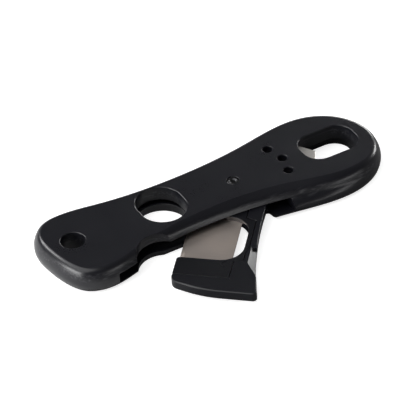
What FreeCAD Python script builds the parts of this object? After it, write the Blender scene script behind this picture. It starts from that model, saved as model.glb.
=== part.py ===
# Pocket string winder and cutter: a flat two-shell handle with a turning hole at one
# end, a round cutting hole in the waist, and a blade arm that swings out of the front edge.
# Frame: origin on the arm's pivot axis at the underside, +X to the turning hole,
# +Y to the closed back edge, +Z up through the handle. Millimetres.
import FreeCAD, Part
import math
import os

V = FreeCAD.Vector
UP = V(0, 0, 1)
doc = FreeCAD.newDocument("string_winder")
sheet = doc.addObject("Spreadsheet::Sheet", "sizes")

SIZES = [
    # handle, seen from above
    ("lobe_x", 36.0), ("lobe_r", 20.3), ("lobe_bulge", 0.9),   # big end: centre, radius, extra at its end
    ("shoulder_x", 14.0), ("shoulder_w", 18.0),    # half width where the big end runs out
    ("waist_x", -14.0), ("waist_wall", 5.5), ("waist_back", 0.3),  # narrowest: beside the cutting hole
    ("hip_x", -45.0), ("hip_w", 16.4), ("hip_back", 0.5),      # half width before the small end
    ("tail_x", -60.0), ("tail_w", 18.8), ("tail_front", 0.5),  # small end: half width, more at front
    ("tail_end", 73.5), ("tail_corner", 13.0),     # small end: reach behind the pivot, corner radius
    ("tail_back", 0.5), ("tail_skew", 1.3),        # its fuller back corner, its flatter front corner
    # handle, heights, and how far its edge is drawn in at each
    ("height", 9.6), ("floor_z", 1.9), ("girth_z", 4.0), ("lip_z", 5.8), ("shoulder_z", 8.2),
    ("bottom_inset", 2.6), ("floor_inset", 0.35), ("lip_inset", 0.3),
    ("shoulder_inset", 1.0), ("top_inset", 2.3),
    # how much more the front edge is drawn in by its wide bevel, and stands out below it
    ("lip_scoop", 2.2), ("shoulder_scoop", 3.4), ("top_scoop", 3.8), ("front_flare", 0.7),
    # openings through the handle
    ("hole_y", 1.5),
    ("hub_room", 18.0), ("cut_r", 9.3), ("cut_wall", 0.8), ("slit_gap", 0.2),
    ("wall_r", "=cut_r + cut_wall"), ("cut_x", "=-hub_room - wall_r"), ("waist_w", "=cut_r + waist_wall"),
    ("cut_top_r", 9.1), ("cut_top_low", 0.9), ("cut_top_high", 3.2),
    ("ring_x", -62.6), ("ring_r", 4.7),
    ("turn_left", 28.6), ("turn_right", 50.0), ("turn_corner", 6.2),
    ("turn_front", 8.6), ("turn_back", 8.6), ("turn_step", 1.9),
    ("row_x", 19.2), ("row_bow", 1.8), ("row_pitch", 7.1), ("row_r", 1.8),
    ("notch_x", -40.6), ("notch_y", -18.2), ("notch_r", 7.3), ("notch_low_r", 6.9),
    # arm pocket
    ("pocket_left", -56.0), ("pocket_right", 14.2),
    ("pocket_room", 1.3), ("pocket_back", "=hole_y + wall_r + pocket_room"),
    ("sill_y", -12.2), ("sill_right", 6.8),
    # arm, in its closed place
    ("open_angle", 49.5), ("arm_gap", 0.25), ("arm_tip", -55.4),
    ("back_gap", 0.5), ("arm_back", "=pocket_back - back_gap"),
    ("hub_r", 9.4), ("edge_reach", 0.2), ("heel_tuck", 1.3),
    ("rim_gap", 0.6), ("rim_x", "=cut_x - wall_r - rim_gap"), ("inner_y", "=hole_y - wall_r - rim_gap"),
    ("fit_gap", 0.1), ("window_x", -15.1), ("window_r", 7.9), ("heel_corner", 3.4), ("hub_swing", 17.3254),
    # blade cover's seams, in the closed place
    ("seam_x", -48.0), ("seam_front", -6.8), ("seam_right", -6.2), ("seam_hub", -7.3),
    ("tongue_side", 0.4), ("tongue_left", "=rim_x - tongue_side"), ("tongue_right", "=window_x"),
    ("tongue_width", 1.7), ("tongue_front", "=inner_y - tongue_width"), ("tongue_lean", 1.1),
    # finger scoop
    ("scoop_left", -44.7), ("scoop_right", -31.0),
    ("scoop_over", 0.5), ("scoop_inner", "=tongue_front + scoop_over"), ("scoop_floor", 0.6),
    # blade
    ("blade_inset", 0.2), ("blade_front", "=arm_back - blade_inset"),
    ("blade_width", 18.0), ("blade_thick", 0.6), ("blade_z", 3.3),
    ("blade_left", -46.0), ("blade_right", -6.5), ("blade_slant", 7.0), ("edge_grind", 1.3),
    # steel lip in the turning hole
    ("lip_reach", 6.0), ("lip_thick", 1.0), ("lip_plate_top", 7.0), ("lip_root", 3.4),
    ("lip_half_angle", 58.5), ("lip_side", 1.2),
    # pivot
    ("pin_r", 1.5), ("pin_head_r", 3.0), ("pin_head_h", 0.9), ("pin_cap_r", 2.1),
    ("pin_cap_h", 1.1), ("pin_sink", 0.15), ("dimple_r", 1.15), ("dimple_depth", 0.45),
    ("run_gap", 0.05), ("washer_r", 4.4), ("washer_t", 0.4),
    # screws
    ("screw_r", 1.0), ("screw_head_r", 1.9), ("screw_head_h", 1.1), ("screw_len", 6.2),
    ("screw_sink", 0.15), ("screw_side", 6.6), ("screw_front", 6.0), ("screw_clear", 1.3),
    ("screw_left", 1.5), ("screw_right", 3.2), ("drive_reach", 1.2), ("drive_half", 0.2),
    ("drive_depth", 0.45),
    ("clamp_r", 0.8), ("clamp_head_r", 1.4), ("clamp_head_h", 0.6), ("clamp_len", 2.7),
    ("clamp_sink", 0.1), ("clamp_drive", 0.9), ("clamp_drive_half", 0.15), ("clamp_grip", 1.1),
]
for row, (alias, value) in enumerate(SIZES, start=1):
    sheet.set("A%d" % row, alias)
    sheet.set("B%d" % row, str(value))
    sheet.setAlias("B%d" % row, alias)
doc.recompute()


def size(alias):
    """A driving dimension, read from the sheet."""
    return float(getattr(sheet, alias))


# ---------------------------------------------------------------- shared helpers
def feature(label, shape, turned=False):
    """A Part::Feature that holds a shape; a turned one stands at the arm's open angle."""
    item = doc.addObject("Part::Feature", label)
    item.Label = label
    item.Shape = shape
    if turned:
        item.Placement = FreeCAD.Placement(V(0, 0, 0), FreeCAD.Rotation(UP, size("open_angle")))
    return item


def spline_wire(points, z):
    """A closed smooth curve through points at one height."""
    curve = Part.BSplineCurve()
    curve.interpolate(Points=[V(x, y, z) for x, y in points], PeriodicFlag=True)
    return Part.Wire([curve.toShape()])


def rounded_wire(corners, z):
    """A closed outline of straight runs whose corners (x, y, radius) are rounded."""
    count = len(corners)
    points = [V(x, y, z) for x, y, _ in corners]
    starts, ends, arcs = [], [], []
    for i, (_, _, radius) in enumerate(corners):
        here = points[i]
        back = (points[i - 1] - here).normalize()
        ahead = (points[(i + 1) % count] - here).normalize()
        half = back.getAngle(ahead) / 2
        if radius <= 0:
            starts.append(here)
            ends.append(here)
            arcs.append(None)
            continue
        reach = radius / math.tan(half)
        first, last = here + back * reach, here + ahead * reach
        middle = here + (back + ahead).normalize() * (radius / math.sin(half) - radius)
        starts.append(first)
        ends.append(last)
        arcs.append(Part.Arc(first, middle, last).toShape())
    edges = []
    for i in range(count):
        if arcs[i] is not None:
            edges.append(arcs[i])
        after = starts[(i + 1) % count]
        if (after - ends[i]).Length > 1e-6:
            edges.append(Part.LineSegment(ends[i], after).toShape())
    return Part.Wire(edges)


def prism(wire, height):
    """The solid that a flat wire sweeps upwards."""
    return Part.Face(wire).extrude(V(0, 0, height))


def plate(corners, z_low, z_high):
    """A flat rounded plate between two heights."""
    return prism(rounded_wire(corners, z_low), z_high - z_low)


def rod(radius, z_low, z_high, x=0.0, y=0.0):
    """An upright cylinder."""
    return Part.makeCylinder(radius, z_high - z_low, V(x, y, z_low))


def bar(x_low, x_high, y_low, y_high, z_low, z_high):
    """An upright block between two corners."""
    return Part.makeBox(x_high - x_low, y_high - y_low, z_high - z_low, V(x_low, y_low, z_low))


# ---------------------------------------------------------------- handle outline
def stations():
    """Points round the handle, each (x, y, share of the front scoop)."""
    points = []
    lobe_x, lobe_r = size("lobe_x"), size("lobe_r")
    for degrees in (-75, -50, -25, 0, 25, 50, 75):
        angle = math.radians(degrees)
        share = 0.25 if degrees == -75 else 0.0
        radius = lobe_r + size("lobe_bulge") * math.cos(angle + math.radians(20)) ** 4
        points.append((lobe_x + radius * math.cos(angle), radius * math.sin(angle), share))
    back = [(size("shoulder_x"), size("shoulder_w"), 0.0),
            (size("waist_x"), size("waist_w") + size("waist_back"), 0.0),
            (size("hip_x"), size("hip_w") + size("hip_back"), 0.0),
            (size("tail_x"), size("tail_w"), 0.0)]
    front = [(size("tail_x"), -size("tail_w") - size("tail_front"), 0.0),
             (size("hip_x"), -size("hip_w"), 0.0),
             (size("waist_x"), -size("waist_w"), 0.9), (size("shoulder_x"), -size("shoulder_w"), 1.0)]
    corner = size("tail_corner")
    centre = V(-size("tail_end") + corner, size("tail_w") - corner, 0)
    corners = []
    extra = {125: size("tail_back"), 155: size("tail_back"),
             205: -size("tail_skew"), 235: -size("tail_skew") / 4}
    for degrees in (125, 155, 205, 235):
        angle = math.radians(degrees)
        side = 1 if degrees < 180 else -1
        radius = corner + extra[degrees]
        corners.append((centre.x + radius * math.cos(angle),
                        side * centre.y + radius * math.sin(angle), 0.0))
    end = [(-size("tail_end"), 0.0, 0.0)]
    return points + back + corners[:2] + end + corners[2:] + front


def outline(inset, scoop):
    """The handle's outline moved in by inset, and by scoop more along the front edge."""
    marks = stations()
    count = len(marks)
    moved = []
    for i, (x, y, share) in enumerate(marks):
        before, after = marks[i - 1], marks[(i + 1) % count]
        along = V(after[0] - before[0], after[1] - before[1], 0).normalize()
        inward = V(-along.y, along.x, 0)
        shift = inset + scoop * share
        moved.append((x + inward.x * shift, y + inward.y * shift))
    return moved


def handle_slice(low, high):
    """The handle between two levels, each a height, an inset and a front scoop."""
    wires = [spline_wire(outline(inset, scoop), z) for z, inset, scoop in (low, high)]
    return Part.makeLoft(wires, True, True)


def turning_hole(z_low, z_high, step=0.0):
    """The rounded rectangular hole at the big end, drawn in by step at the back."""
    left, right, corner = size("turn_left"), size("turn_right"), size("turn_corner")
    low, high = size("hole_y") - size("turn_front"), size("hole_y") + size("turn_back") - step
    corners = [(left, low, corner), (right, low, corner), (right, high, corner), (left, high, corner)]
    return plate(corners, z_low, z_high)


def cutting_hole(z_low, z_high, grow=0.0):
    """The upper shell's part of the cutting hole, longer across the handle than along it."""
    x, radius = size("cut_x"), size("cut_top_r") + grow
    low, high = size("cut_top_low"), size("cut_top_high")
    ends = rod(radius, z_low, z_high, x, low).fuse(rod(radius, z_low, z_high, x, high))
    return ends.fuse(bar(x - radius, x + radius, low, high, z_low, z_high)).removeSplitter()


def row_places():
    """Centres of the three small holes."""
    x, y, bow, pitch = size("row_x"), size("hole_y"), size("row_bow"), size("row_pitch")
    return [(x, y - pitch), (x + bow, y), (x, y + pitch)]


def screw_places():
    """Centres of the shell screws: two at the small end, two by the steel lip, one at the far end."""
    left = (size("pocket_left") - size("tail_end")) / 2 + size("screw_left")
    right = (size("pocket_right") + size("turn_left")) / 2 + size("screw_right")
    end = (size("turn_right") + size("lobe_x") + size("lobe_r")) / 2
    side = size("tail_w") - size("screw_side")
    back = size("hole_y") + lip_half() + size("screw_clear")
    front = size("screw_front") - size("shoulder_w")
    return [(left, side), (left, -side), (right, back), (right, front), (end, size("hole_y"))]


def through_holes(z_low, z_high, notch_r):
    """The holes that pass through both shells, and the finger notch."""
    holes = [rod(size("ring_r"), z_low, z_high, size("ring_x"), size("hole_y")),
             rod(notch_r, z_low, z_high, size("notch_x"), size("notch_y"))]
    holes += [rod(size("row_r"), z_low, z_high, px, py) for px, py in row_places()]
    return Part.makeCompound(holes)


def arm_pocket():
    """The space between the shells in which the arm swings, open at the front edge."""
    left, right, back = size("pocket_left"), size("pocket_right"), size("pocket_back")
    front = -size("tail_w") - 5
    step = size("rim_x")
    corners = [(left, front, 0), (right, front, 0), (right, back, 6.0), (step + 3, back, 0),
               (step - 1, back + 0.7, 0), (left, back + 0.7, 2.5)]
    return plate(corners, size("floor_z"), size("lip_z"))


def make_upper_shell():
    height, lip_z, floor_z = size("height"), size("lip_z"), size("floor_z")
    flare = size("front_flare")
    levels = [(floor_z, size("floor_inset"), -flare), (size("girth_z"), 0.0, -flare / 2),
              (lip_z, size("lip_inset"), size("lip_scoop")),
              (size("shoulder_z"), size("shoulder_inset"), size("shoulder_scoop")),
              (height, size("top_inset"), size("top_scoop"))]
    slices = [handle_slice(*pair) for pair in zip(levels, levels[1:])]
    body = slices[0].multiFuse(slices[1:]).cut(arm_pocket())
    blade_top = size("blade_z") + size("blade_thick")
    wall_low = blade_top + size("slit_gap")
    body = body.fuse(cutting_hole(wall_low, lip_z + 0.5, size("cut_wall")))
    body = body.cut(cutting_hole(floor_z, height + 1))
    body = body.cut(through_holes(-1, height + 1, size("notch_r")))
    body = body.cut(turning_hole(size("girth_z"), height + 1, size("turn_step")))
    body = body.cut(turning_hole(-1, size("girth_z")))
    body = body.cut(rod(size("pin_cap_r") + size("run_gap"), height - size("pin_cap_h"), height + 1))
    body = body.cut(rod(size("pin_r") + size("run_gap"), lip_z - 1, height))
    for x, y in screw_places():
        body = body.cut(rod(size("screw_r"), floor_z - 1, size("screw_len") + size("fit_gap"), x, y))
    body = body.cut(lip_plate_shape())
    return feature("upper_shell", body.removeSplitter())


def make_lower_shell():
    floor_z, height, cut_x, cut_y = size("floor_z"), size("height"), size("cut_x"), size("hole_y")
    flare = size("front_flare")
    body = handle_slice((0.0, size("bottom_inset"), -flare), (floor_z, size("floor_inset"), -flare))
    body = body.fuse(rod(size("wall_r"), floor_z - 0.5, size("blade_z") - size("slit_gap"), cut_x, cut_y))
    body = body.cut(rod(size("cut_r"), -1, height, cut_x, cut_y))
    left, right, sill = size("notch_x"), size("sill_right"), size("sill_y")
    front = -size("tail_w") - 5
    body = body.cut(plate([(left, front, 0), (right + 1.5, front, 0), (right, sill, 1.0), (left, sill, 0)],
                          -1, floor_z + 1))
    body = body.cut(through_holes(-1, height + 1, size("notch_low_r"))).cut(turning_hole(-1, height))
    body = body.cut(rod(size("pin_head_r") + size("fit_gap"), -1, size("pin_head_h")))
    body = body.cut(rod(size("pin_r") + size("run_gap"), -1, floor_z + 1))
    for x, y in screw_places():
        body = body.cut(rod(size("screw_r") + size("fit_gap"), -1, floor_z + 1, x, y))
        body = body.cut(rod(size("screw_head_r") + size("fit_gap"), -1, size("screw_head_h"), x, y))
    return feature("lower_shell", body.removeSplitter())


def cross_drive(x, y, reach, half, z_top):
    """The two crossed slots of a driver recess, from below up to z_top."""
    along = bar(x - reach, x + reach, y - half, y + half, -1.0, z_top)
    return along.fuse(bar(x - half, x + half, y - reach, y + reach, -1.0, z_top))


def screw(x, y, radius, head_r, z_head, z_neck, z_tip, drive):
    """A screw that stands on its head, less its driver recess."""
    body = rod(head_r, z_head, z_neck, x, y).fuse(rod(radius, z_neck, z_tip, x, y))
    return body.cut(drive).removeSplitter()


def make_shell_screws():
    sink = size("screw_sink")
    solids = []
    for x, y in screw_places():
        drive = cross_drive(x, y, size("drive_reach"), size("drive_half"), sink + size("drive_depth"))
        solids.append(screw(x, y, size("screw_r"), size("screw_head_r"), sink,
                            size("screw_head_h"), size("screw_len"), drive))
    return feature("shell_screws", Part.makeCompound(solids))


# ---------------------------------------------------------------- steel lip
def lip_half():
    """Half the width of the steel lip's root, past both sides of the turning hole."""
    return (size("turn_front") + size("turn_back")) / 2 + size("lip_side")


def lip_plate_shape():
    """A flat steel plate whose blunt point stands into the turning hole."""
    y, root = size("hole_y"), size("turn_left") - size("lip_root")
    point = size("turn_left") + size("lip_reach")
    half = lip_half()
    back = point - half / math.tan(math.radians(size("lip_half_angle")))
    corners = [(root, y - half, 1.0), (back, y - half, 0), (point, y, 0.3),
               (back, y + half, 0), (root, y + half, 1.0)]
    top = size("lip_plate_top")
    return plate(corners, top - size("lip_thick"), top)


def make_lip_plate():
    return feature("steel_lip_plate", lip_plate_shape())


# ---------------------------------------------------------------- swinging arm, closed place
def arm_low():
    return size("floor_z") + size("arm_gap")


def arm_high():
    return size("lip_z") - size("arm_gap")


def front_edge(x):
    """How far forward the arm's outer edge lies at x: flush with the handle's lip, and tucked
    in behind it towards the heel."""
    lip = spline_wire(outline(size("lip_inset"), size("lip_scoop")), 0)
    ray = Part.LineSegment(V(x, -2 * size("tail_w"), 0), V(x, 0, 0)).toShape()
    _, pairs, _ = lip.distToShape(ray)
    start, end = size("scoop_right"), size("arm_tip")
    share = min(1.0, max(0.0, (start - x) / (start - end)))
    return pairs[0][0].y - size("edge_reach") + size("heel_tuck") * share


def inner_edge():
    """The arm's inner edge, from the hub round the front to the rim."""
    back, rim, low = size("arm_back"), size("rim_x"), size("inner_y")
    hub_edge, corner = size("window_x"), size("window_r")
    hub_back = -math.sqrt(size("hub_swing") ** 2 - back ** 2)    # clears the hole's wall as it swings
    return [(hub_back, back, 0.8), (hub_edge, low + corner + 0.1, 0), (hub_edge, low, corner),
            (rim, low, corner), (rim, back + 0.4, 1.2)]


def outer_edge():
    """The arm's outer edge, from the rim's back end round the front to the hub."""
    back, tip, hub = size("arm_back"), size("arm_tip"), size("hub_r")
    corner_y = front_edge(tip + 1.0)
    rim = [(tip + 4.0, back + 0.4, size("heel_corner")), (tip + 0.2, 1.0, 40.0), (tip, corner_y, 1.4)]
    front = [(x, front_edge(x), 0) for x in (-46.0, -37.0, -28.0, -19.0)]
    return rim + front + [(-8.0, front_edge(-8.0), 3.0), (hub, front_edge(-8.0) + 1.0, hub - 1.0),
                          (hub, back, hub - 0.1)]


def arm_outline():
    return inner_edge() + outer_edge()


def cover_outline(grow=0.0):
    """The blade cover: the arm's inner part, let into the frame."""
    back, seam = size("arm_back") + 0.4, size("seam_x") - grow
    front, tongue, lean = size("seam_front") - grow, size("tongue_front") - grow, size("tongue_lean")
    left, right = size("tongue_left"), size("tongue_right") + grow
    hub, hub_front, bend = size("seam_right") + grow, size("seam_hub") - grow, size("scoop_right")
    return inner_edge() + [
        (seam, back, 0.6), (seam, front, 0), (left, front, 0), (left + lean, tongue + 0.6, 0),
        (bend - 2.4, tongue + 0.9, 0), (bend, tongue, 0), (right - lean, tongue, 0),
        (right, hub_front, 0), (hub, hub_front, 0), (hub, size("arm_back"), 0)]


def clamp_places():
    """Centres of the screws that clamp the cover and the blade to the frame."""
    rim = (size("rim_x") + size("seam_x")) / 2
    return [(rim, -2.6), (rim, 8.4), (-10.6, 8.0)]


def blade_outline():
    back = size("blade_front") - size("blade_width")
    left, right = size("blade_left"), size("blade_right")
    return [(left, back, 0.4), (right - size("blade_slant"), back, 0.4),
            (right, size("blade_front"), 0), (left, size("blade_front"), 0)]


def make_arm_frame():
    low, high = arm_low(), arm_high()
    blade_top = size("blade_z") + size("blade_thick")
    gap = size("fit_gap")
    body = plate(arm_outline(), low, high)
    recess = plate(cover_outline(gap), blade_top, high + 1)
    body = body.cut(recess)
    body = body.cut(plate(blade_pocket(), size("blade_z"), high + 1))
    body = body.cut(finger_scoop())
    body = body.cut(rod(size("pin_r") + size("run_gap"), low - 1, high + 1))
    seat = size("washer_t") - size("arm_gap")
    seat_r = size("washer_r") + size("fit_gap") * 2
    body = body.cut(rod(seat_r, low - 1, low + seat + size("run_gap")))
    body = body.cut(rod(seat_r, high - seat - size("run_gap"), high + 1))
    for x, y in clamp_places():
        body = body.cut(rod(size("clamp_r") + gap, low - 1, high, x, y))
        body = body.cut(rod(size("clamp_head_r") + gap, low - 1, low + size("clamp_head_h"), x, y))
    return feature("arm_frame", body.removeSplitter(), turned=True)


def blade_pocket():
    """The blade's outline with a little room round its hidden ends, open past its edge."""
    gap, past = size("fit_gap"), 4.0
    (x0, y0, r0), (x1, y1, r1), (x2, y2, _), (x3, _, _) = blade_outline()
    slope = (x2 - x1) / (y2 - y1)
    return [(x0 - gap, y0 - gap, r0), (x1 + gap, y1 - gap, r1),
            (x2 + gap + slope * past, y2 + past, 0), (x3 - gap, y2 + past, 0)]


def finger_scoop():
    """The sloping finger catch cut into the arm's outer edge, facing the handle's notch."""
    high, low = arm_high(), arm_low() + size("scoop_floor")
    left, right, inner = size("scoop_left"), size("scoop_right"), size("scoop_inner")
    edge = front_edge((left + right) / 2)
    outer = edge - 5.0
    z_outer = low - (high - low) / (inner - edge) * (edge - outer)
    section = Part.makePolygon([V(right, inner, high), V(right, outer, z_outer),
                                V(right, outer, high + 1), V(right, inner, high + 1),
                                V(right, inner, high)])
    wedge = Part.Face(section).extrude(V(left - right - 2, 0, 0))
    keep = plate([(left, outer - 2, 0), (right, outer - 2, 0), (right, inner + 1.4, 0),
                  (right - 6.0, inner + 1.4, 0)], low - 5, high + 2)
    return wedge.common(keep)


def make_blade_cover():
    blade_top, high = size("blade_z") + size("blade_thick"), arm_high()
    body = plate(cover_outline(), blade_top, high)
    for x, y in clamp_places():
        body = body.cut(rod(size("clamp_r"), blade_top - 1, blade_top + size("clamp_grip"), x, y))
    return feature("blade_cover", body.removeSplitter(), turned=True)


def make_blade():
    z_low, z_high = size("blade_z"), size("blade_z") + size("blade_thick")
    body = plate(blade_outline(), z_low, z_high)
    front, grind, middle = size("blade_front"), size("edge_grind"), (z_low + z_high) / 2
    left, run = size("blade_left") - 1, size("blade_right") - size("blade_left") + 2
    for z_face in (z_low, z_high):
        past = 2 * z_face - middle
        section = Part.makePolygon([V(left, front - grind, z_face), V(left, front, middle),
                                    V(left, front + 1, middle), V(left, front + 1, past),
                                    V(left, front - grind, past), V(left, front - grind, z_face)])
        body = body.cut(Part.Face(section).extrude(V(run, 0, 0)))
    for x, y in clamp_places():
        body = body.cut(rod(size("clamp_r") + size("fit_gap"), z_low - 1, z_high + 1, x, y))
    return feature("blade", body.removeSplitter(), turned=True)


def make_clamp_screws():
    low, sink = arm_low(), size("clamp_sink")
    solids = []
    for x, y in clamp_places():
        drive = cross_drive(x, y, size("clamp_drive"), size("clamp_drive_half"), low + 3 * sink)
        solids.append(screw(x, y, size("clamp_r"), size("clamp_head_r"), low + sink,
                            low + size("clamp_head_h"), low + size("clamp_len"), drive))
    return feature("clamp_screws", Part.makeCompound(solids), turned=True)


# ---------------------------------------------------------------- pivot
def bound(kind, name, **expressions):
    """A Part primitive whose properties follow the sheet."""
    item = doc.addObject(kind, name)
    for key, text in expressions.items():
        item.setExpression(key, text)
    return item


def cylinder(name, radius, height, z):
    item = bound("Part::Cylinder", name, Radius=radius, Height=height)
    item.setExpression("Placement.Base.z", z)
    return item


def combine(kind, name, base, tool):
    item = doc.addObject(kind, name)
    item.Base, item.Tool = base, tool
    return item


def make_pivot_pin():
    head = cylinder("pin_head", "sizes.pin_head_r", "sizes.pin_head_h - sizes.pin_sink",
                    "sizes.pin_sink")
    shaft = cylinder("pin_shaft", "sizes.pin_r",
                     "sizes.height - 2 * sizes.pin_sink - sizes.pin_head_h / 2",
                     "sizes.pin_head_h / 2")
    cap = cylinder("pin_cap", "sizes.pin_cap_r", "sizes.pin_cap_h - sizes.pin_sink",
                   "sizes.height - sizes.pin_cap_h")
    dimple = cylinder("pin_dimple", "sizes.dimple_r", "sizes.dimple_depth * 2",
                      "sizes.height - sizes.pin_sink - sizes.dimple_depth")
    ends = combine("Part::Fuse", "pin_ends", head, shaft)
    whole = combine("Part::Fuse", "pin_whole", ends, cap)
    pin = combine("Part::Cut", "pivot_pin", whole, dimple)
    pin.Label = "pivot_pin"
    return pin


def make_washer(label, z):
    disc = cylinder(label + "_disc", "sizes.washer_r", "sizes.washer_t", z)
    bore = cylinder(label + "_bore", "sizes.pin_r + sizes.run_gap", "sizes.washer_t * 3",
                    z + " - sizes.washer_t")
    washer = combine("Part::Cut", label, disc, bore)
    washer.Label = label
    return washer


parts = [
    make_upper_shell(),
    make_lower_shell(),
    make_shell_screws(),
    make_lip_plate(),
    make_pivot_pin(),
    make_washer("upper_washer", "sizes.lip_z - sizes.washer_t"),
    make_washer("spring_washer", "sizes.floor_z"),
    make_arm_frame(),
    make_blade_cover(),
    make_blade(),
    make_clamp_screws(),
]
doc.recompute()

for item in doc.Objects:
    if "Invalid" in item.State or "Error" in item.State:
        raise RuntimeError("%s failed: %s" % (item.Label, item.State))
os.makedirs("parts", exist_ok=True)
for item in parts:
    if item.Shape.isNull() or not item.Shape.isValid():
        raise RuntimeError("%s has a bad shape" % item.Label)
    print(item.Label, len(item.Shape.Solids), round(item.Shape.Volume, 1))
    item.Shape.exportStep("parts/%s.step" % item.Label)
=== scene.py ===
import math

import bmesh
import bpy
import numpy as np
from mathutils import Matrix, Vector


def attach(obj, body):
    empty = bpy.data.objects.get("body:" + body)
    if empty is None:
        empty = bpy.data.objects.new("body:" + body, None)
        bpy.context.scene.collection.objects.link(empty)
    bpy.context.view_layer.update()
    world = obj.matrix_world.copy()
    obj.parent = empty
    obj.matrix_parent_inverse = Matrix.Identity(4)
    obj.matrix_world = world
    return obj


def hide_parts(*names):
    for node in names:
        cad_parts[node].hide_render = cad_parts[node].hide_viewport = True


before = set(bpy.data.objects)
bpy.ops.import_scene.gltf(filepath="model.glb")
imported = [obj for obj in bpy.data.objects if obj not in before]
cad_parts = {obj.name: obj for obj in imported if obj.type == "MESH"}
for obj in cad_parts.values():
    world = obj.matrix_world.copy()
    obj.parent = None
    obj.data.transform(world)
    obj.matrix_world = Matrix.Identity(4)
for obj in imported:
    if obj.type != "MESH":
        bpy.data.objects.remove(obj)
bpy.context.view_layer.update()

MM = 0.001
OPEN_ANGLE = math.radians(49.5)      # the arm's place at rest, from closed

# ---------------------------------------------------------------- sizes, millimetres
# handle outline
LOBE_X, LOBE_R, LOBE_BULGE = 36.0, 20.3, 0.9
SHOULDER = (14.0, 18.0)
WAIST = (-14.0, 14.8, 0.3)
HIP = (-45.0, 16.4, 0.5)
TAIL = (-60.0, 18.8, 0.5)
TAIL_END, TAIL_CORNER, TAIL_BACK, TAIL_SKEW = 73.5, 13.0, 0.5, 1.3
# heights
FLOOR_Z, GIRTH_Z, LIP_Z, TOP_Z = 1.9, 4.0, 5.8, 9.6
PART_LINE, PART_DROP, PART_LIFT = 0.12, 0.35, 0.14     # the fine groove where the shells meet
RIM_SOFT, SMALL_SOFT, EDGE_SOFT = 0.35, 0.2, 0.14      # rounding of holes' rims and of other edges
# clearances
FIT_GAP, RUN_GAP, SLIT_GAP = 0.1, 0.05, 0.2
ARM_GAP, RIM_GAP, BACK_GAP, POCKET_ROOM = 0.25, 0.6, 0.5, 1.3
# openings
HOLE_Y = 1.5
CUT_X, CUT_R, CUT_WALL = -28.1, 9.3, 0.8
CUT_TOP_X, CUT_TOP_R, CUT_TOP_LOW, CUT_TOP_HIGH = -27.6, 8.6, 0.4, 3.75
RING_X, RING_R = -62.6, 4.7
TURN_LEFT, TURN_RIGHT, TURN_CORNER = 28.6, 50.0, 6.2
TURN_FRONT, TURN_BACK, TURN_STEP = 8.6, 8.6, 1.9
ROW_X, ROW_BOW, ROW_PITCH, ROW_R = 19.2, 1.8, 7.1, 1.9
ROW = [(ROW_X, HOLE_Y - ROW_PITCH), (ROW_X + ROW_BOW, HOLE_Y), (ROW_X, HOLE_Y + ROW_PITCH)]
NOTCH_X, NOTCH_Y, NOTCH_R, NOTCH_LOW_R = -39.3, -19.9, 9.1, 8.8
POCKET_LEFT, POCKET_RIGHT, POCKET_BACK = -56.0, 14.2, HOLE_Y + CUT_R + CUT_WALL + POCKET_ROOM
POCKET_CORNER, POCKET_STEP = 6.0, 0.7
SILL_Y, SILL_RIGHT = -12.2, 6.8
PAST_FRONT = -TAIL[1] - 5.0          # clear of the handle's front edge
# arm, in its closed place
ARM_LOW, ARM_HIGH = FLOOR_Z + ARM_GAP, LIP_Z - ARM_GAP
ARM_BACK, ARM_TIP = POCKET_BACK - BACK_GAP, -55.4
HUB_R, EDGE_REACH, HEEL_TUCK = 9.4, 0.2, 1.3
ARM_SOFT_LOW, ARM_SOFT_HIGH, HEEL_SOFT, HEEL_FALL = 0.35, 0.22, 0.5, 0.3
RIM_X, INNER_Y = CUT_X - CUT_R - CUT_WALL - RIM_GAP, HOLE_Y - CUT_R - CUT_WALL - RIM_GAP
RIM_RISE, WINDOW_X, WINDOW_R, HEEL_CORNER = 0.4, -15.1, 7.9, 3.4
SEAM_X, SEAM_FRONT, SEAM_RIGHT, SEAM_HUB, SEAM_GAP = -48.0, -6.8, -6.2, -7.3, 0.12
TONGUE_LEFT, TONGUE_RIGHT, TONGUE_FRONT, TONGUE_LEAN = RIM_X - 0.4, WINDOW_X, INNER_Y - 1.7, 1.1
SCOOP_LEFT, SCOOP_BEND, SCOOP_RIGHT, SCOOP_INNER, SCOOP_FLOOR = -54.0, -39.0, -31.0, -11.6, 0.6
ARROW = [(-42.2, -4.4), (-40.6, -2.9), (-39.0, -4.4), (-39.0, -3.7), (-40.6, -2.2), (-42.2, -3.7)]
ARROW_RISE = 0.14
BLADE_LOW, BLADE_TOP, BLADE_FRONT, BLADE_WIDTH = 3.3, 3.9, ARM_BACK - 0.2, 18.0
BLADE_LEFT, BLADE_RIGHT, BLADE_SLANT, EDGE_GRIND = -46.0, -6.5, 7.0, 1.3
# steel lip
LIP_BACK, LIP_POINT, LIP_ROOT, LIP_HALF = TURN_LEFT, TURN_LEFT + 6.0, TURN_LEFT - 3.4, 9.8
LIP_LOW, LIP_TOP, LIP_SOFT = 6.0, 7.0, 0.12
# pivot and screws
PIN_R, PIN_HEAD_R, PIN_HEAD_H, PIN_CAP_R, PIN_CAP_H, PIN_SINK = 1.5, 3.0, 0.9, 2.1, 1.1, 0.15
SCREWS = [(-63.25, 12.2), (-63.25, -12.2), (24.6, 12.6), (24.6, -12.0), (53.15, 1.5)]
SCREW_R, SCREW_HEAD_R, SCREW_HEAD_H, SCREW_LEN = 1.0, 1.9, 1.1, 6.2
SCREW_SINK, SCREW_REACH, SCREW_ROOM = 0.15, 1.2, 0.2
CLAMPS = [(-43.4, -2.6), (-43.4, 8.4), (-10.6, 8.0)]
CLAMP_R, CLAMP_HEAD_R, CLAMP_HEAD_H, CLAMP_LEN = 0.8, 1.4, 0.6, 2.7
CLAMP_SINK, CLAMP_REACH = 0.1, 0.9
WASHER_SEAT_R, WASHER_SEAT = 4.6, 0.2

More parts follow.
